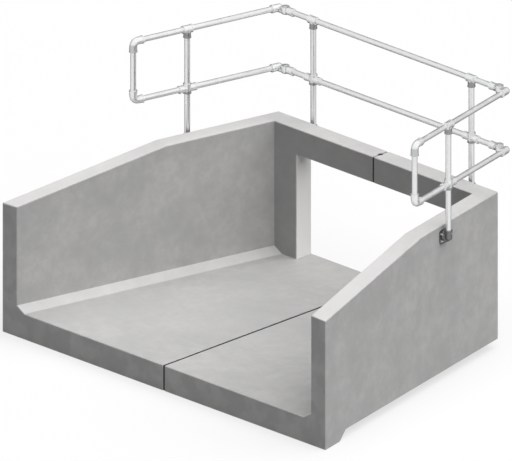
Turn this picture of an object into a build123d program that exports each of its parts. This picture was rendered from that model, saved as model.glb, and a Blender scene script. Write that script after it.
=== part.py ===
from build123d import *
from math import atan2, cos, hypot, sin
import os

# Precast concrete headwall for the end of a box culvert, with its tubular handrail.
# Millimetres. X runs across, Y from the open front to the culvert, Z up from the lowest point.

# ---- concrete: two handed castings that meet on the centre line
front_width = 3780  # over the outer corners of the wing walls
rear_width = 2570  # over the back wall
depth = 2640
slab_thickness = 145
toe_depth = 80  # the cut-off toe hangs this far below the slab
toe_width = 220  # along the toe's underside
toe_batter = 90  # the back of the toe slopes over this length
wing_thickness = 165
back_wall_thickness = 175
wall_height = 1165  # above the floor, where the tops are level
front_fall = 242  # how much lower a wing wall ends at the front
level_length = 1200  # level part of a wing wall, from the rear corner
haunch_width = 85
haunch_height = 52
opening_width = 1800
opening_height = 935
joint_gap = 24  # between the two castings
seal_recess = 3  # the joint seal stops this far inside the faces
key_radius = 22  # round grout key in the lintel joint
arris = 5  # chamfer on the exposed edges of the castings

# ---- handrail: 48.3 mm tube in clamp fittings
tube_radius = 24.15
tube_wall = 3.2
sleeve_radius = 33  # outside of a fitting's main socket
branch_radius = 31.5  # outside of a socket that stands on the side of a sleeve
rim_width = 10  # raised band round the mouth of a socket
rim_height = 2.5
through_reach = 44  # half the length of a sleeve that a tube runs through
tee_reach = 74  # from a tee's centre to the end of its post socket
cross_reach = 84  # from a cross's centre to the end of its rail sockets
elbow_reach = 46  # length of an elbow's sockets, past its bend
socket_stop = 2  # metal between a through bore and the end of a socket
standoff = 52  # from the concrete face to a tube's axis
top_rail_height = 900  # above the level wall top
mid_rail_height = 372
post_drop = 100  # from the wall top down to the foot of a post, in the middle of its palm
wing_post_station = 860  # along a wing wall, from the rear corner
rail_end_station = 1390
back_post_x = 925
palm_width = 120
palm_height = 120
palm_thickness = 10
palm_corner = 24
palm_boss_width = 62  # raised middle of the palm, between its bolts
palm_bolt_spacing = (88, 60)
palm_bolt_hole = 14
cup_height = 60  # the cup's rim above the foot of the post
elbow_radius = 46  # the elbow's centre line
swivel_offset = 75  # from a corner's swivel pin to the wing rail's axis
swivel_eye_radius = 35
eye_socket_length = 64  # past the eye
swivel_split = -8  # the eye rests on the lug at this height from the rail's axis
swivel_pin_radius = 8
lug_socket_start = 20  # from the corner to where the wing rail ends in the lug piece
lug_socket_length = 56

# ---- places worked out from the above
half_front = front_width / 2
half_rear = rear_width / 2
y_length = depth + standoff + sleeve_radius + rim_height
y_front = -y_length / 2
y_rear = y_front + depth
z_slab = toe_depth
z_floor = z_slab + slab_thickness
z_lintel = z_floor + opening_height
z_top = z_floor + wall_height
z_top_rail = z_top + top_rail_height
z_mid_rail = z_top + mid_rail_height
z_palm = z_top - post_drop

splay = atan2(half_front - half_rear, depth)
wing_length = hypot(half_front - half_rear, depth)
along = Vector(sin(splay), -cos(splay), 0)  # the right wing wall, from rear to front
outward = Vector(cos(splay), sin(splay), 0)
rear_corner = Vector(half_rear, y_rear, 0)
top_slope = front_fall / (wing_length - level_length)


def wing_point(station, out, height):
    """A point beside the right wing wall: along it, out from its outer face, and up."""
    return rear_corner + along * station + outward * out + Vector(0, 0, height)


def finish(part, name):
    part.label = name
    export_step(part, f"parts/{name}.step")


os.makedirs("parts", exist_ok=True)

# ---- the castings
with BuildPart() as headwall_right:
    with BuildSketch(Plane.XY.offset(z_slab)):
        Rectangle(2 * half_front, depth + 200, align=(Align.MIN, Align.CENTER))
    extrude(amount=slab_thickness)
    # cut-off toe, with its sloped back
    with BuildSketch(Plane.YZ):
        Polygon(
            (y_front, 0),
            (y_front + toe_width, 0),
            (y_front + toe_width + toe_batter, z_slab),
            (y_front, z_slab),
            align=None,
        )
    extrude(amount=2 * half_front)
    # wing wall: its side profile, made solid from the outer face inwards
    with BuildSketch(Plane(origin=rear_corner, x_dir=along, z_dir=-outward)):
        overrun = 200
        Polygon(
            (-overrun, z_slab),
            (wing_length + overrun, z_slab),
            (wing_length + overrun, z_top - front_fall - top_slope * overrun),
            (level_length, z_top),
            (-overrun, z_top),
            align=None,
        )
    extrude(amount=wing_thickness)
    # haunch along the foot of the wing wall
    wall_foot = wing_point(wing_length + overrun, -wing_thickness, z_floor)
    with BuildSketch(Plane(origin=wall_foot, x_dir=-outward, z_dir=-along)):
        Polygon((0, 0), (haunch_width, 0), (0, haunch_height), align=None)
    extrude(amount=wing_length + overrun)
    # back wall
    with BuildSketch(Plane.XY.offset(z_floor)):
        with Locations((0, y_rear)):
            Rectangle(half_rear, back_wall_thickness, align=(Align.MIN, Align.MAX))
    extrude(amount=wall_height)
    # everything ends at the plan outline of one half
    with BuildSketch():
        Polygon(
            (joint_gap / 2, y_front),
            (half_front, y_front),
            (half_rear, y_rear),
            (joint_gap / 2, y_rear),
            align=None,
        )
    extrude(amount=z_top, mode=Mode.INTERSECT)
    # culvert opening, and the half-round groove of the lintel joint
    with BuildSketch(Plane.XZ.offset(-y_rear)):
        with Locations((0, z_floor)):
            Rectangle(opening_width, opening_height, align=(Align.CENTER, Align.MIN))
    extrude(amount=back_wall_thickness, mode=Mode.SUBTRACT)
    # exposed edges are chamfered; inner corners, the joint and the buried foot stay sharp
    exposed = headwall_right.edges().filter_by(
        lambda edge: not edge.is_interior
        and edge.center().X > joint_gap
        and edge.center().Z > z_floor - arris
        and abs(edge.center().Y - y_rear) > 1
    )
    chamfer(exposed, length=arris)
    with Locations((0, y_rear - back_wall_thickness / 2, z_top)):
        Hole(key_radius, depth=z_top - z_lintel)

with BuildPart() as headwall_left:
    mirror(headwall_right.part, about=Plane.YZ)

finish(headwall_right.part, "headwall_right")
finish(headwall_left.part, "headwall_left")

# ---- what fills the joint
with BuildPart() as floor_joint_seal:
    with BuildSketch(Plane.YZ):
        Polygon(
            (y_front + seal_recess, seal_recess),
            (y_front + toe_width, seal_recess),
            (y_front + toe_width + toe_batter, z_slab + seal_recess),
            (y_rear - seal_recess, z_slab + seal_recess),
            (y_rear - seal_recess, z_floor - seal_recess),
            (y_front + seal_recess, z_floor - seal_recess),
            align=None,
        )
    extrude(amount=joint_gap / 2, both=True)
finish(floor_joint_seal.part, "floor_joint_seal")

with BuildPart() as lintel_grout_key:
    with BuildSketch(Plane.XY.offset(z_lintel)):
        with Locations((0, y_rear - back_wall_thickness / 2)):
            Circle(key_radius)
    extrude(amount=z_top - z_lintel - seal_recess / 2)
finish(lintel_grout_key.part, "lintel_grout_key")

with BuildPart() as lintel_joint_seals:
    with BuildSketch(Plane.XY.offset(z_lintel + seal_recess)):
        with Locations((0, y_rear - back_wall_thickness / 2)):
            Rectangle(joint_gap, back_wall_thickness - 2 * seal_recess)
            Circle(key_radius, mode=Mode.SUBTRACT)
    extrude(amount=z_top - z_lintel - 2 * seal_recess)
finish(lintel_joint_seals.part, "lintel_joint_seals")


# ---- handrail tubes and fittings
def tube(name, start, end):
    """A straight length of handrail tube."""
    run = end - start
    with BuildPart() as piece:
        with BuildSketch(Plane(origin=start, z_dir=run)):
            Circle(tube_radius)
            Circle(tube_radius - tube_wall, mode=Mode.SUBTRACT)
        extrude(amount=run.length)
    finish(piece.part, name)


def sleeve(centre, direction, back, front, radius=sleeve_radius, mode=Mode.ADD):
    """A round socket body on a tube's axis, in the fitting that is being built."""
    with Locations(Plane(origin=centre + direction * back, z_dir=direction)):
        Cylinder(radius, front - back, align=(Align.CENTER, Align.CENTER, Align.MIN), mode=mode)


def socket(centre, direction, back, front, radius=sleeve_radius):
    """A socket body with a raised rim round its mouth."""
    sleeve(centre, direction, back, front, radius)
    sleeve(centre, direction, front - rim_width, front, radius + rim_height)


def bore(centre, direction, back, front):
    """The hole that a tube runs in."""
    sleeve(centre, direction, back, front, tube_radius, Mode.SUBTRACT)


up = Vector(0, 0, 1)
socket_end = tube_radius + socket_stop  # from a fitting's centre to where a tube stops
elbow_stop = elbow_radius + 6  # from an elbow's corner to where a tube stops
eye_to_tube = swivel_eye_radius + 26  # from the swivel pin to where the back rail stops


def side_palm(name, foot, face):
    """Flange on the concrete, with a round-bottomed cup that the foot of a post stands in."""
    flange = Plane(origin=foot - face * standoff, x_dir=up.cross(face), z_dir=face)
    with BuildPart() as piece:
        with BuildSketch(flange):
            RectangleRounded(palm_width, palm_height, palm_corner)
        extrude(amount=palm_thickness)
        with BuildSketch(flange.offset(palm_thickness)):
            RectangleRounded(palm_boss_width, palm_height - 10, palm_corner)
        extrude(amount=standoff - palm_thickness, taper=18)
        socket(foot, up, 0, cup_height)
        with Locations(foot):
            Sphere(sleeve_radius)
        bore(foot, up, 0, cup_height)
        with BuildSketch(flange):
            with GridLocations(*palm_bolt_spacing, 2, 2):
                Circle(palm_bolt_hole / 2)
        extrude(amount=standoff, mode=Mode.SUBTRACT)
    finish(piece.part, name)


def top_tee(name, centre, direction):
    """Short tee: the rail runs through, the post ends under it."""
    with BuildPart() as piece:
        for way in (direction, -direction):
            socket(centre, way, 0, through_reach)
        socket(centre, -up, 0, tee_reach, branch_radius)
        bore(centre, direction, -through_reach, through_reach)
        bore(centre, -up, socket_end, tee_reach)
    finish(piece.part, name)


def mid_cross(name, centre, direction):
    """Two-socket cross: the post runs through, a rail ends in each side socket."""
    with BuildPart() as piece:
        for way in (up, -up):
            socket(centre, way, 0, through_reach)
        for way in (direction, -direction):
            socket(centre, way, 0, cross_reach, branch_radius)
        bore(centre, up, -through_reach, through_reach)
        for way in (direction, -direction):
            bore(centre, way, socket_end, cross_reach)
    finish(piece.part, name)


def end_elbow(name, corner, rail_way, bar_way):
    """Elbow fitting at a free end: two sockets joined by a hollow bend."""
    bend_end = corner + rail_way * (elbow_stop + 6)
    mouth = Plane(origin=bend_end, z_dir=-rail_way)
    with BuildPart() as piece:
        with BuildLine() as bend:
            FilletPolyline(
                bend_end, corner, corner + bar_way * (elbow_stop + 6), radius=elbow_radius
            )
        with BuildSketch(mouth):
            Circle(branch_radius)
        sweep(path=bend.line)
        for way in (rail_way, bar_way):
            socket(corner, way, elbow_radius + 2, elbow_radius + elbow_reach)
        with BuildSketch(mouth):
            Circle(tube_radius - tube_wall)
        sweep(path=bend.line, mode=Mode.SUBTRACT)
        for way in (rail_way, bar_way):
            bore(corner, way, elbow_stop, elbow_radius + elbow_reach)
    finish(piece.part, name)


def swivel_eye(name, pin, rail_way):
    """Corner fitting's upper half: a socket for the back rail with an eye on its end."""
    level = Plane(origin=pin + up * swivel_split, x_dir=rail_way, z_dir=up)
    mouth = swivel_eye_radius + eye_socket_length
    with BuildPart() as piece:
        with BuildSketch(level):
            Circle(swivel_eye_radius)
        extrude(amount=sleeve_radius - swivel_split)
        with BuildSketch(level):
            Rectangle(swivel_eye_radius + 8, 40, align=(Align.MIN, Align.CENTER))
        extrude(amount=sleeve_radius - swivel_split - 6)
        socket(pin, rail_way, swivel_eye_radius + 4, mouth)
        bore(pin, rail_way, eye_to_tube, mouth)
        with BuildSketch(level):
            Circle(swivel_pin_radius)
        extrude(amount=sleeve_radius - swivel_split, mode=Mode.SUBTRACT)
    finish(piece.part, name)


def swivel_lug(name, corner, pin, rail_way):
    """Corner fitting's lower half: a closed socket for the wing rail, a lug and its pin."""
    toward = (pin - corner).normalized()
    level = Plane(origin=corner - up * sleeve_radius, x_dir=toward, z_dir=up)
    with BuildPart() as piece:
        with BuildSketch(level):
            with Locations((swivel_offset / 2, 0)):
                Rectangle(swivel_offset, 44)
            with Locations((swivel_offset, 0)):
                Circle(swivel_eye_radius - 4)
        extrude(amount=sleeve_radius + swivel_split)
        socket(corner, rail_way, 0, lug_socket_start + lug_socket_length)
        with Locations(corner):
            Sphere(sleeve_radius)
        bore(corner, rail_way, lug_socket_start, lug_socket_start + lug_socket_length)
        with BuildSketch(level.offset(sleeve_radius + swivel_split)):
            with Locations((swivel_offset, 0)):
                Circle(swivel_pin_radius)
        extrude(amount=sleeve_radius - swivel_split)
    finish(piece.part, name)


def across(vector):
    """The same place or direction on the left side."""
    return Vector(-vector.X, vector.Y, vector.Z)


def same(vector):
    return vector


# ---- where the rails run
back_line = y_rear + standoff
corner_station = -standoff * (1 - sin(splay)) / cos(splay)
corner_x = wing_point(corner_station, standoff, 0).X

for side, flip in (("left", across), ("right", same)):
    way = flip(along)
    face = flip(outward)
    inward = flip(Vector(-1, 0, 0))
    wing_foot = flip(wing_point(wing_post_station, standoff, z_palm))
    wing_mid = flip(wing_point(wing_post_station, standoff, z_mid_rail))
    wing_top = flip(wing_point(wing_post_station, standoff, z_top_rail))
    back_foot = flip(Vector(back_post_x, back_line, z_palm))
    back_mid = flip(Vector(back_post_x, back_line, z_mid_rail))
    back_top = flip(Vector(back_post_x, back_line, z_top_rail))
    post_head = -up * socket_end

    tube(f"wing_post_{side}", wing_foot, wing_top + post_head)
    tube(f"back_post_{side}", back_foot, back_top + post_head)
    side_palm(f"wing_palm_{side}", wing_foot, face)
    side_palm(f"back_palm_{side}", back_foot, Vector(0, 1, 0))
    top_tee(f"wing_top_tee_{side}", wing_top, way)
    top_tee(f"back_top_tee_{side}", back_top, inward)
    mid_cross(f"wing_mid_cross_{side}", wing_mid, way)
    mid_cross(f"back_mid_cross_{side}", back_mid, inward)

    for level, height in (("top", z_top_rail), ("mid", z_mid_rail)):
        corner = flip(wing_point(corner_station, standoff, height))
        pin = corner + inward * swivel_offset
        end = flip(wing_point(rail_end_station, standoff, height))
        swivel_eye(f"corner_eye_{level}_{side}", pin, inward)
        swivel_lug(f"corner_lug_{level}_{side}", corner, pin, way)
        end_elbow(f"end_elbow_{level}_{side}", end, -way, -up if level == "top" else up)
        rail_start = corner + way * lug_socket_start
        rail_end = end - way * elbow_stop
        if level == "top":
            tube(f"wing_top_rail_{side}", rail_start, rail_end)
        else:
            gap = way * socket_end
            tube(f"wing_mid_rail_rear_{side}", rail_start, wing_mid - gap)
            tube(f"wing_mid_rail_front_{side}", wing_mid + gap, rail_end)

    bar_top = flip(wing_point(rail_end_station, standoff, z_top_rail - elbow_stop))
    bar_foot = flip(wing_point(rail_end_station, standoff, z_mid_rail + elbow_stop))
    tube(f"end_bar_{side}", bar_foot, bar_top)

    pin_mid = flip(Vector(corner_x - swivel_offset, back_line, z_mid_rail))
    socket_start = pin_mid + inward * eye_to_tube
    tube(f"back_mid_rail_{side}", socket_start, back_mid - inward * socket_end)

rail_reach = corner_x - swivel_offset - eye_to_tube
tube(
    "back_top_rail",
    Vector(-rail_reach, back_line, z_top_rail),
    Vector(rail_reach, back_line, z_top_rail),
)
mid_reach = back_post_x - socket_end
tube(
    "back_mid_rail_centre",
    Vector(-mid_reach, back_line, z_mid_rail),
    Vector(mid_reach, back_line, z_mid_rail),
)
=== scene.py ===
"""The looks of a precast culvert headwall and its galvanised handrail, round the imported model."""

import math

import bpy
from mathutils import Matrix, Vector


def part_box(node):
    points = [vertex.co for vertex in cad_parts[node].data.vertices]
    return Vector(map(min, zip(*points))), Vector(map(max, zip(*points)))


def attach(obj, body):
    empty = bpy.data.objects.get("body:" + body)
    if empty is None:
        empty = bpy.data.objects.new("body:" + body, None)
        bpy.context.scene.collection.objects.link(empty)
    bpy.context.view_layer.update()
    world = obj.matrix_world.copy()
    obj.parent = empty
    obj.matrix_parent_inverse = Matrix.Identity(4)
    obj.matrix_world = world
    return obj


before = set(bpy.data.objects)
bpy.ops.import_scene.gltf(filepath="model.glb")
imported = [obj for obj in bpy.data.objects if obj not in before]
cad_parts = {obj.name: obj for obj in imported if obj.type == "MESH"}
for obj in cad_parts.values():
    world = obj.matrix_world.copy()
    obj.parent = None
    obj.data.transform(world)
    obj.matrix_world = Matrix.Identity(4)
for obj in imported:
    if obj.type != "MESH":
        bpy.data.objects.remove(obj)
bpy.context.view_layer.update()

# ---- sizes of the concrete, in metres
HALF_FRONT, HALF_REAR, DEPTH = 1.890, 1.285, 2.640
SPLAY = math.atan2(HALF_FRONT - HALF_REAR, DEPTH)  # of the wing walls
HALF_JOINT = 0.0125  # the faces of the joint are nearer to the middle than this
LINTEL_TOP = 1.384  # the joint is painted paler above this

# ---- sizes of the handrail
TOP_RAIL, MID_RAIL = 2.290, 1.762  # heights of the rails' axes
SLEEVE = 0.033  # outside radius of a socket
BRANCH = 0.0315  # of a socket that stands on the side of a sleeve
RIM = 0.0025  # a socket's rim stands this much prouder
ELBOW = 0.046  # radius of an elbow's bend
STANDOFF = 0.052  # from the concrete's face to a tube's axis
PALM_THICKNESS = 0.010
ANCHOR_ACROSS, ANCHOR_UP = 0.044, 0.030  # half the spacing of a palm's holes
EYE = 0.035  # outside radius of a corner's eye
SWIVEL = 0.075  # from the swivel pin to the corner of the rails
BETWEEN_RAILS = MID_RAIL + 0.2  # the top rail's fittings are above this
# where the painted shade below each rail starts and where it is full
SHADE_STARTS, SHADE_FULL = 0.014, 0.032  # depth below a rail's axis

# ---- how far the set screws sit from the middle of their fitting, along the socket
TEE_RAIL_SCREW, TEE_POST_SCREW = 0.022, 0.055
CROSS_POST_SCREW, CROSS_RAIL_SCREW = 0.024, 0.063
PALM_SCREW = 0.038
ELBOW_SCREW = ELBOW + 0.026
EYE_SCREW, LUG_SCREW = EYE + 0.042, 0.055

UP = Vector((0, 0, 1))
BACK = Vector((0, 1, 0))

# ---- camera: parallel view from the front right, a little above
AZIMUTH = 44.8
ELEVATION = 21.75
VIEW_WIDTH = 4.25
AIM_ACROSS, AIM_UP = -0.196, 0.971  # middle of the view, from the origin, in the view's own plane
CAMERA_DISTANCE = 12


def seen_from(azimuth, elevation):
    """The direction towards a viewer or lamp; azimuth is 0 at the front and 90 at the right."""
    azimuth, elevation = math.radians(azimuth), math.radians(elevation)
    return Vector(
        (
            math.sin(azimuth) * math.cos(elevation),
            -math.cos(azimuth) * math.cos(elevation),
            math.sin(elevation),
        )
    )


def add_camera():
    towards = seen_from(AZIMUTH, ELEVATION)
    across = UP.cross(towards).normalized()
    aim = across * AIM_ACROSS + towards.cross(across) * AIM_UP
    bpy.ops.object.camera_add(location=aim + towards * CAMERA_DISTANCE)
    camera = bpy.context.object
    camera.rotation_euler = (-towards).to_track_quat("-Z", "Y").to_euler()
    camera.data.type = "ORTHO"
    camera.data.ortho_scale = VIEW_WIDTH
    bpy.context.scene.camera = camera


# ---- places of some sockets in their nodes' own lists
COORD_GENERATED, COORD_OBJECT = 0, 3
GEOMETRY_NORMAL = 1
VORONOI_COLOUR = 1
DOT_VALUE = 1
MIX_COLOUR_INPUTS, MIX_COLOUR = (6, 7), 2


# ---- shader maths
class Term:
    """A shader socket, or what sums on it make."""

    def __init__(self, recipe, socket):
        self.recipe = recipe
        self.socket = socket

    def maths(self, operation, *terms):
        return self.recipe.node("ShaderNodeMath", {"operation": operation}, *terms)

    def __add__(self, other):
        return self.maths("ADD", self, other)

    def __sub__(self, other):
        return self.maths("SUBTRACT", self, other)

    def __rsub__(self, other):
        return self.maths("SUBTRACT", other, self)

    def __mul__(self, other):
        return self.maths("MULTIPLY", self, other)

    def __gt__(self, other):
        return self.maths("GREATER_THAN", self, other)

    def __lt__(self, other):
        return self.maths("LESS_THAN", self, other)

    def __abs__(self):
        return self.maths("ABSOLUTE", self)

    __radd__ = __add__
    __rmul__ = __mul__


class Recipe:
    """The nodes of one material or of the world."""

    def __init__(self, tree):
        self.tree = tree
        tree.nodes.clear()

    def node(self, kind, settings, *values, out=0, **named):
        made = self.tree.nodes.new(kind)
        for setting, value in settings.items():
            setattr(made, setting, value)
        pairs = list(zip(made.inputs, values))
        pairs += [(made.inputs[name.replace("_", " ")], value) for name, value in named.items()]
        for socket, value in pairs:
            if isinstance(value, Term):
                self.tree.links.new(value.socket, socket)
            elif value is not None:
                socket.default_value = value
        return Term(self, made.outputs[out]) if len(made.outputs) else made

    def place(self):
        """Where the surface is, in Object coordinates."""
        return self.node("ShaderNodeTexCoord", {}, out=COORD_OBJECT)

    def facing(self):
        """The surface's normal."""
        return self.node("ShaderNodeNewGeometry", {}, out=GEOMETRY_NORMAL)

    def axes(self, vector):
        split = self.node("ShaderNodeSeparateXYZ", {}, vector).socket.node
        return [Term(self, output) for output in split.outputs]

    def stretched(self, vector, scale):
        return self.node("ShaderNodeMapping", {}, vector, Scale=scale)

    def noise(self, vector, scale, detail=4.0, roughness=0.5):
        return self.node(
            "ShaderNodeTexNoise", {}, Vector=vector, Scale=scale, Detail=detail, Roughness=roughness
        )

    def fade(self, term, start, end):
        """0 up to start, 1 from end on and smooth between; start may be the larger."""
        return self.node(
            "ShaderNodeMapRange", {"interpolation_type": "SMOOTHSTEP"}, term, start, end
        )

    def mix(self, factor, first, second):
        made = self.node("ShaderNodeMix", {"data_type": "RGBA"}, factor, out=MIX_COLOUR)
        for index, value in zip(MIX_COLOUR_INPUTS, (first, second)):
            socket = made.socket.node.inputs[index]
            if isinstance(value, Term):
                self.tree.links.new(value.socket, socket)
            else:
                socket.default_value = value
        return made

    def bump(self, height, strength, distance, under=None):
        return self.node(
            "ShaderNodeBump",
            {},
            Strength=strength,
            Distance=distance,
            Height=height,
            Normal=under,
        )

    def surface(self, **named):
        shader = self.node("ShaderNodeBsdfPrincipled", {}, **named)
        self.node("ShaderNodeOutputMaterial", {}, shader)


def grey(value, warmth=0.0):
    return (value * (1 + warmth), value, value * (1 - warmth), 1)


def new_material(name):
    material = bpy.data.materials.new(name)
    material.use_nodes = True
    return material, Recipe(material.node_tree)


def precast_concrete():
    """Smooth formed concrete with stains and mottling; several faces are painted lighter or darker
    as painted light and shade.
    """
    material, r = new_material("precast_concrete")
    place = r.place()
    across, along, height = r.axes(place)
    turn_across, turn_along, turn_up = r.axes(r.facing())

    # the faces, told by the way they face and by their place; the back wall's top counts for less
    faces_front = r.fade(turn_along, -0.90, -0.98)
    open_end = faces_front * (1 - r.fade(along, -1.2, -1.0))
    back_wall = faces_front * r.fade(along, 0.95, 1.05)
    flat = r.fade(turn_up, 0.90, 0.98)
    top = flat * r.fade(height, 0.70, 0.80) * (1 - r.fade(along, 1.04, 1.14) * 0.35)
    floor = flat * (1 - r.fade(height, 0.24, 0.30))
    haunch = r.fade(turn_up, 0.80, 0.84) * (1 - r.fade(turn_up, 0.87, 0.92))
    chamfer = r.fade(abs(turn_up), 0.60, 0.68) * (1 - r.fade(abs(turn_up), 0.74, 0.80))
    upright = 1 - r.fade(abs(turn_up), 0.1, 0.4)
    reveal = r.fade(abs(turn_across), 0.90, 0.97) * (1.0 > abs(across))
    joint = HALF_JOINT > abs(across)

    # cloudy patches, smaller mottling inside them, blotches on the open end, and fine sand grain
    clouds = r.fade(r.noise(place, 2.6, 5, 0.62), 0.32, 0.70)
    mottle = r.fade(r.noise(place, 11, 6, 0.65), 0.34, 0.66)
    blotches = r.fade(r.noise(place, 6, 3, 0.5), 0.40, 0.60)
    grain = r.noise(place, 260, 3, 0.7)
    tone = r.mix(clouds, grey(0.420, 0.006), grey(0.515, 0.010))
    tone = r.mix(mottle * 0.50, tone, grey(0.38, 0.004))
    # painted light: the open end's front faces are painted lighter
    tone = r.mix(open_end * 0.45, tone, grey(0.52, 0.008))
    tone = r.mix(blotches * (0.06 + open_end * 0.50), tone, grey(0.36, 0.004))
    tone = r.mix(r.fade(grain, 0.35, 0.75) * 0.20, tone, grey(0.56, 0.012))

    # weather runs down from the wall tops
    runs = r.noise(r.stretched(place, (9, 9, 0.7)), 1.0, 4, 0.6)
    streaks = r.fade(runs, 0.50, 0.72) * r.fade(height, 0.35, 1.35) * upright
    tone = r.mix(streaks * 0.05, tone, grey(0.30))

    # the tops, trowelled smoother, are painted lighter as painted light from above; the channel
    # floor is painted a little darker as painted shade between the walls
    tone = r.mix(top * 0.62, tone, grey(0.63, 0.010))
    tone = r.mix(floor * 0.36, tone, grey(0.34, 0.008))

    # the haunches are painted paler as painted light on their slope; the back wall's front face is
    # painted darker as painted shade
    tone = r.mix(haunch * 0.47, tone, grey(0.63, 0.010))
    tone = r.mix(back_wall * 0.62, tone, grey(0.26, 0.004))

    # the faces of the joint are painted near black as painted shade in the gap between the
    # castings, and a paler grey on top of the lintel
    tone = r.mix(joint * 0.9, tone, grey(0.03))
    tone = r.mix(joint * (height > LINTEL_TOP), tone, grey(0.30))

    # the opening's reveals are painted much paler as painted light
    tone = r.mix(reveal * 0.95, tone, grey(0.86, 0.010))

    # chamfers are rubbed a little paler
    chips = r.fade(r.noise(place, 45, 4, 0.6), 0.45, 0.60)
    tone = r.mix(chamfer * chips * 0.30, tone, grey(0.62, 0.012))

    # air holes left by the mould, painted dark as painted shade in them
    cells = r.node(
        "ShaderNodeTexVoronoi", {"feature": "F1"}, Vector=place, Scale=26.0, Randomness=1.0
    )
    kept = r.noise(place, 19, 2, 0.5) > 0.52
    holes = (1 - r.fade(cells, 0.045, 0.085)) * kept
    tone = r.mix(holes * 0.65, tone, grey(0.16))

    rough = 0.80 + grain * 0.14 - top * 0.05
    relief = r.bump(r.noise(place, 32, 5, 0.6), 0.35, 0.0012)
    relief = r.bump(grain, 0.45, 0.0006, relief)
    relief = r.bump(1 - holes, 0.9, 0.0025, relief)
    r.surface(Base_Color=tone, Roughness=rough, Normal=relief)
    return material


def under_rails(r, place):
    """Where the fittings get painted shade: their sides and undersides just below each rail."""
    height = r.axes(place)[2]
    level = r.axes(r.facing())[2]
    below_top = r.fade(height, TOP_RAIL - SHADE_STARTS, TOP_RAIL - SHADE_FULL)
    below_mid = r.fade(height, MID_RAIL - SHADE_STARTS, MID_RAIL - SHADE_FULL)
    return (below_top * (height > BETWEEN_RAILS) + below_mid) * (1 - r.fade(level, 0.15, 0.55))


def galvanised(name, dull, bright, spangle, relief_depth, painted_shade=0.0):
    """Hot-dip zinc: soft crystals under a dull bloom, with painted shade below the rails on
    fittings.
    """
    material, r = new_material(name)
    place = r.place()
    crystals = r.node(
        "ShaderNodeTexVoronoi", {"feature": "F1"}, Vector=place, Scale=spangle, out=VORONOI_COLOUR
    )
    shade = r.axes(crystals)[0]
    bloom = r.fade(r.noise(place, 9, 5, 0.6), 0.35, 0.70)
    ripple = r.noise(place, 60, 4, 0.65)
    tone = r.mix(shade * 0.6, grey(dull, -0.006), grey(bright, -0.003))
    tone = r.mix(bloom * 0.35, tone, grey(bright * 0.94, -0.008))
    # painted shade: the fittings' sides and undersides just below each rail are darkened
    if painted_shade:
        tone = r.mix(under_rails(r, place) * painted_shade, tone, grey(0.22, 0.01))
    rough = 0.26 + shade * 0.06 + bloom * 0.10
    relief = r.bump(ripple, 0.25, relief_depth)
    r.surface(Base_Color=tone, Metallic=0.92 - bloom * 0.12, Roughness=rough, Normal=relief)
    return material


def joint_sealant():
    """Black sealing strip, dusty, and paler grey on top of the lintel."""
    material, r = new_material("joint_sealant")
    place = r.place()
    grain = r.noise(place, 120, 4, 0.6)
    dust = r.fade(r.noise(place, 6, 5, 0.6), 0.45, 0.75)
    tone = r.mix(dust * 0.5, grey(0.018), grey(0.045, 0.01))
    # paler grey on top of the lintel
    tone = r.mix(r.axes(place)[2] > LINTEL_TOP, tone, grey(0.24, 0.01))
    r.surface(Base_Color=tone, Roughness=0.62 + dust * 0.2, Normal=r.bump(grain, 0.5, 0.001))
    return material


def joint_grout():
    """Very dark, sandy cement grout with damp patches."""
    material, r = new_material("joint_grout")
    place = r.place()
    sand = r.noise(place, 300, 3, 0.7)
    damp = r.fade(r.noise(place, 40, 4, 0.6), 0.40, 0.65)
    tone = r.mix(sand, grey(0.03), grey(0.06, 0.01))
    tone = r.mix(damp * 0.4, tone, grey(0.02))
    r.surface(Base_Color=tone, Roughness=0.92 - damp * 0.1, Normal=r.bump(sand, 0.7, 0.0012))
    return material


def zinc_plated():
    """Bright plated steel of the screws, anchors and pins, a little worn."""
    material, r = new_material("zinc_plated_steel")
    place = r.place()
    wear = r.fade(r.noise(place, 140, 4, 0.6), 0.40, 0.70)
    tone = r.mix(wear, grey(0.62, -0.01), grey(0.78, -0.004))
    rough = 0.26 + wear * 0.18
    r.surface(Base_Color=tone, Metallic=1.0, Roughness=rough, Normal=r.bump(wear, 0.2, 0.0003))
    return material


# ---- how small pieces are modelled
LEVEL_NORMAL = 0.9  # a level face's normal is steeper than this


def on_top(centre, normal):
    return normal.z > LEVEL_NORMAL


def clear_selection():
    bpy.ops.object.select_all(action="DESELECT")


def cylinder(name, radius, length, height, sides):
    """An upright cylinder whose middle is at the height."""
    clear_selection()
    bpy.ops.mesh.primitive_cylinder_add(
        vertices=sides, radius=radius, depth=length, location=(0, 0, height)
    )
    piece = bpy.context.object
    piece.name = name
    bpy.ops.object.transform_apply(location=True, rotation=True, scale=True)
    return piece


def edit_faces(piece, chosen):
    """Opens the piece with only the faces selected whose centre and normal pass the test."""
    bpy.context.view_layer.objects.active = piece
    bpy.ops.object.mode_set(mode="EDIT")
    bpy.ops.mesh.select_mode(type="FACE")
    bpy.ops.mesh.select_all(action="DESELECT")
    bpy.ops.object.mode_set(mode="OBJECT")
    for face in piece.data.polygons:
        face.select = chosen(face.center, face.normal)
    bpy.ops.object.mode_set(mode="EDIT")


def close_edit():
    bpy.ops.object.mode_set(mode="OBJECT")


def soften(piece, width, segments):
    """Rounds the sharp edges and smooths what is nearly flat."""
    bevel = piece.modifiers.new("rounded edges", "BEVEL")
    bevel.width = width
    bevel.segments = segments
    bevel.limit_method = "ANGLE"
    bevel.angle_limit = math.radians(40)
    clear_selection()
    piece.select_set(True)
    bpy.context.view_layer.objects.active = piece
    bpy.ops.object.modifier_apply(modifier=bevel.name)
    bpy.ops.object.shade_smooth_by_angle(angle=math.radians(35))


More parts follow.
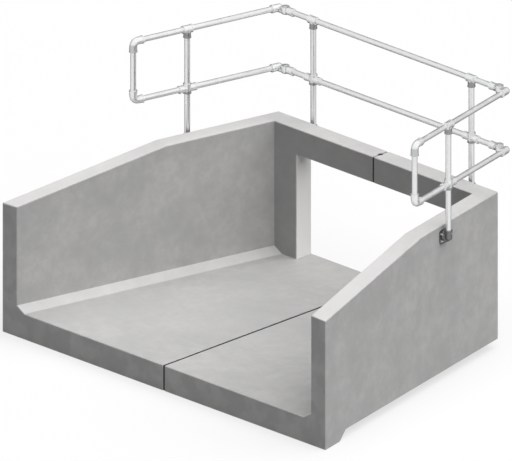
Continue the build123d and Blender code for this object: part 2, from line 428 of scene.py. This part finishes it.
def cut(piece, cutter):
    """Takes the cutter's shape out of the piece."""
    taken = piece.modifiers.new("socket", "BOOLEAN")
    taken.operation = "DIFFERENCE"
    taken.object = cutter
    clear_selection()
    piece.select_set(True)
    bpy.context.view_layer.objects.active = piece
    bpy.ops.object.modifier_apply(modifier=taken.name)
    bpy.data.objects.remove(cutter)


def join(pieces):
    clear_selection()
    for piece in pieces:
        piece.select_set(True)
    bpy.context.view_layer.objects.active = pieces[0]
    bpy.ops.object.join()
    return pieces[0]


def model_set_screw():
    """Hollow-hexagon screw that stands a little out of a fitting, pointing up."""
    screw = cylinder("set_screw", radius=0.0062, length=0.009, height=-0.0012, sides=24)
    edit_faces(screw, on_top)
    bpy.ops.mesh.inset(thickness=0.0008)
    bpy.ops.transform.translate(value=(0, 0, 0.0006))
    close_edit()
    cut(screw, cylinder("hexagon", radius=0.0034, length=0.008, height=0.0055, sides=6))
    soften(screw, width=0.0003, segments=1)
    return screw


def model_anchor():
    """Washer, hexagon nut and the end of an anchor stud, standing on the palm's face."""
    washer = cylinder("anchor", radius=0.0118, length=0.0024, height=0.0012, sides=32)
    soften(washer, width=0.0005, segments=2)
    nut = cylinder("nut", radius=0.0109, length=0.0100, height=0.0074, sides=6)
    edit_faces(nut, lambda centre, normal: abs(normal.z) > LEVEL_NORMAL)
    bpy.ops.mesh.inset(thickness=0.0014, use_individual=True)
    close_edit()
    edit_faces(nut, lambda centre, normal: on_top(centre, normal) and centre.xy.length < 0.001)
    bpy.ops.transform.translate(value=(0, 0, 0.0009))
    close_edit()
    soften(nut, width=0.0005, segments=2)
    stud = cylinder("stud", radius=0.0058, length=0.0300, height=0.0040, sides=20)
    edit_faces(stud, on_top)
    bpy.ops.mesh.inset(thickness=0.0012)
    bpy.ops.transform.translate(value=(0, 0, 0.0012))
    close_edit()
    soften(stud, width=0.0002, segments=1)
    return join([washer, nut, stud])


def model_pin_head():
    """Flat domed head that keeps a corner fitting's pin in."""
    head = cylinder("pin_head", radius=0.0135, length=0.0050, height=0.0025, sides=32)
    edit_faces(head, on_top)
    bpy.ops.mesh.inset(thickness=0.0035)
    bpy.ops.transform.translate(value=(0, 0, 0.0014))
    bpy.ops.mesh.inset(thickness=0.0045)
    bpy.ops.transform.translate(value=(0, 0, 0.0005))
    close_edit()
    soften(head, width=0.0007, segments=2)
    return head


def put(pattern, name, point, direction):
    """A copy of a modelled fastener, standing at the point along the direction."""
    piece = pattern.copy()
    piece.data = pattern.data.copy()
    piece.name = name
    turn = direction.to_track_quat("Z", "Y").to_matrix().to_4x4()
    piece.data.transform(Matrix.Translation(point) @ turn)
    piece.data.materials.clear()
    piece.data.materials.append(zinc)
    bpy.context.scene.collection.objects.link(piece)
    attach(piece, "root")


def middle_of(node):
    low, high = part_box(node)
    return (low + high) / 2


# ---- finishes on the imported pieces
finishes = {
    "concrete": precast_concrete(),
    "sealant": joint_sealant(),
    "grout": joint_grout(),
    "galvanised_tube": galvanised(
        "galvanised_tube", dull=0.80, bright=0.89, spangle=110, relief_depth=0.0001
    ),
    # fittings and bends carry painted shade below the rails, the bends less
    "galvanised_fitting": galvanised(
        "galvanised_fitting", dull=0.84, bright=0.94, spangle=150, relief_depth=0.0003, painted_shade=0.85
    ),
    "galvanised_bend": galvanised(
        "galvanised_bend", dull=0.84, bright=0.94, spangle=150, relief_depth=0.0003, painted_shade=0.45
    ),
    # the palms are the same zinc, painted dark grey as painted shade
    "palm_casting": galvanised(
        "palm_casting", dull=0.16, bright=0.24, spangle=150, relief_depth=0.0016
    ),
}
zinc = zinc_plated()


def finish_of(node):
    """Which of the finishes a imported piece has, told by its name."""
    if node.startswith("headwall"):
        return "concrete"
    if "seal" in node:
        return "sealant"
    if "grout" in node:
        return "grout"
    if "palm" in node:
        return "palm_casting"
    if "post" in node or "rail" in node or "bar" in node:
        return "galvanised_tube"
    if "elbow" in node:
        return "galvanised_bend"
    return "galvanised_fitting"


for node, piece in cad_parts.items():
    piece.data.materials.clear()
    piece.data.materials.append(finishes[finish_of(node)])

# ---- screws, anchors and pins of the handrail
set_screw = model_set_screw()
anchor = model_anchor()
pin_head = model_pin_head()


def put_screw(name, centre, along, offset, radius, direction):
    """A set screw in a socket whose axis passes through the centre."""
    put(set_screw, name, centre + along * offset + direction * radius, direction)


for side, sign in (("left", -1), ("right", 1)):
    wing_way = Vector((sign * math.sin(SPLAY), -math.cos(SPLAY), 0))
    wing_face = Vector((sign * math.cos(SPLAY), math.sin(SPLAY), 0))
    inward = Vector((-sign, 0, 0))
    for wall, way, face in (("wing", wing_way, wing_face), ("back", inward, BACK)):
        post = middle_of(f"{wall}_post_{side}")
        tee = post.copy()
        tee.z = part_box(f"{wall}_top_tee_{side}")[1].z - SLEEVE - RIM
        cross = middle_of(f"{wall}_mid_cross_{side}")
        foot = post.copy()
        foot.z = middle_of(f"{wall}_palm_{side}").z

        tee_screw = f"{wall}_top_tee_screw"
        put_screw(f"{tee_screw}_rail_{side}", tee, way, TEE_RAIL_SCREW, SLEEVE, face)
        put_screw(f"{tee_screw}_post_{side}", tee, -UP, TEE_POST_SCREW, BRANCH, face)
        cross_screw = f"{wall}_mid_cross_screw"
        put_screw(f"{cross_screw}_post_{side}", cross, UP, CROSS_POST_SCREW, SLEEVE, face)
        put_screw(f"{cross_screw}_front_{side}", cross, way, CROSS_RAIL_SCREW, BRANCH, -UP)
        put_screw(f"{cross_screw}_rear_{side}", cross, -way, CROSS_RAIL_SCREW, BRANCH, -UP)
        put_screw(f"{wall}_palm_screw_{side}", foot, UP, PALM_SCREW, SLEEVE, face)

        level = face.cross(UP)
        seat = foot - face * (STANDOFF - PALM_THICKNESS)
        for across_name, across in (("front", -1), ("rear", 1)):
            for up_name, rise in (("low", -1), ("high", 1)):
                hole = seat + level * across * ANCHOR_ACROSS + UP * rise * ANCHOR_UP
                put(anchor, f"{wall}_palm_anchor_{across_name}_{up_name}_{side}", hole, face)

    for level_name, rail in (("top", "wing_top_rail"), ("mid", "wing_mid_rail_front")):
        end = middle_of(f"end_bar_{side}")
        end.z = middle_of(f"{rail}_{side}").z
        bar_way = -UP if level_name == "top" else UP
        elbow_screw = f"end_elbow_{level_name}_screw"
        put_screw(f"{elbow_screw}_rail_{side}", end, -wing_way, ELBOW_SCREW, SLEEVE, wing_face)
        put_screw(f"{elbow_screw}_bar_{side}", end, bar_way, ELBOW_SCREW, SLEEVE, wing_face)

        low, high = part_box(f"corner_eye_{level_name}_{side}")
        pin = (low + high) / 2
        pin.x = high.x - EYE if sign > 0 else low.x + EYE
        pin.z = end.z
        corner = pin - inward * SWIVEL
        put_screw(f"corner_eye_{level_name}_screw_{side}", pin, inward, EYE_SCREW, SLEEVE, -UP)
        put_screw(f"corner_lug_{level_name}_screw_{side}", corner, wing_way, LUG_SCREW, SLEEVE, -UP)
        put(pin_head, f"corner_pin_head_{level_name}_{side}", pin + UP * SLEEVE, UP)
        put(pin_head, f"corner_pin_foot_{level_name}_{side}", pin - UP * SLEEVE, -UP)

for pattern in (set_screw, anchor, pin_head):
    bpy.data.objects.remove(pattern)


# ---- floor, world and lamp
AMBIENT = 0.08  # light from the white studio on the part
FLOOR_SIZE = 60
FLOOR_GAP = 0.002  # between the floor and the part
FLOOR_TONE = 0.24
FLOOR_LIGHT = 1.40  # light that falls on the open floor
CLOTH_TONE = 0.15  # a dark cloth at the rear left, which only reflections show
CLOTH_AZIMUTH, CLOTH_ELEVATION = 225, -22
CLOTH_CORE, CLOTH_EDGE = 0.85, -0.05  # cosine of the angle from its middle: all dark, all white
LAMP_DISTANCE = 8


def rays(r):
    """1 or 0 for each kind of ray that meets the surface: camera, glossy and clear."""
    path = r.node("ShaderNodeLightPath", {}).socket.node
    names = ("Is Camera Ray", "Is Glossy Ray", "Is Transmission Ray")
    return [Term(r, path.outputs[name]) for name in names]


def add_floor():
    """White paper that takes the part's shadow. Reflections pass it and show the world alone."""
    clear_selection()
    bpy.ops.mesh.primitive_plane_add(size=FLOOR_SIZE, location=(0, 0, -FLOOR_GAP))
    floor = bpy.context.object
    floor.name = "studio_floor"
    bpy.ops.object.transform_apply(location=True)
    material, r = new_material("studio_floor")
    camera, glossy, clear = rays(r)
    unlit = 1 - FLOOR_TONE * FLOOR_LIGHT
    paper = r.node("ShaderNodeBsdfDiffuse", {}, grey(FLOOR_TONE))
    glow = r.node("ShaderNodeEmission", {}, grey(1), (camera + clear) * unlit)
    white = r.node("ShaderNodeAddShader", {}, paper, glow)
    gap = r.node("ShaderNodeBsdfTransparent", {})
    r.node("ShaderNodeOutputMaterial", {}, r.node("ShaderNodeMixShader", {}, glossy, white, gap))
    floor.data.materials.append(material)


def add_world():
    """White studio. What metal sees of it is white too, apart from the dark cloth."""
    world = bpy.data.worlds.new("studio")
    bpy.context.scene.world = world
    world.use_nodes = True
    r = Recipe(world.node_tree)
    camera, glossy, clear = rays(r)
    way = r.node("ShaderNodeTexCoord", {}, out=COORD_GENERATED)  # the ray's own direction
    cloth = seen_from(CLOTH_AZIMUTH, CLOTH_ELEVATION)
    nearness = r.node(
        "ShaderNodeVectorMath", {"operation": "DOT_PRODUCT"}, way, cloth, out=DOT_VALUE
    )
    reflected = CLOTH_TONE + r.fade(nearness, CLOTH_CORE, CLOTH_EDGE) * (1 - CLOTH_TONE)
    strength = AMBIENT + (camera + clear) * (1 - AMBIENT) + glossy * (reflected - AMBIENT)
    r.node("ShaderNodeOutputWorld", {}, r.node("ShaderNodeBackground", {}, grey(1), strength))


def add_sun(name, azimuth, elevation, strength, spread):
    """A wide soft lamp that shines from the azimuth and elevation."""
    towards = seen_from(azimuth, elevation)
    clear_selection()
    bpy.ops.object.light_add(type="SUN", location=towards * LAMP_DISTANCE)
    lamp = bpy.context.object
    lamp.name = name
    lamp.rotation_euler = towards.to_track_quat("Z", "Y").to_euler()
    lamp.data.energy = strength * math.pi
    lamp.data.angle = math.radians(spread)
    lamp.visible_glossy = False


add_camera()
add_floor()
add_world()
add_sun("overhead softbox", azimuth=108, elevation=68, strength=1.40, spread=90)

bpy.context.scene.view_settings.view_transform = "Standard"
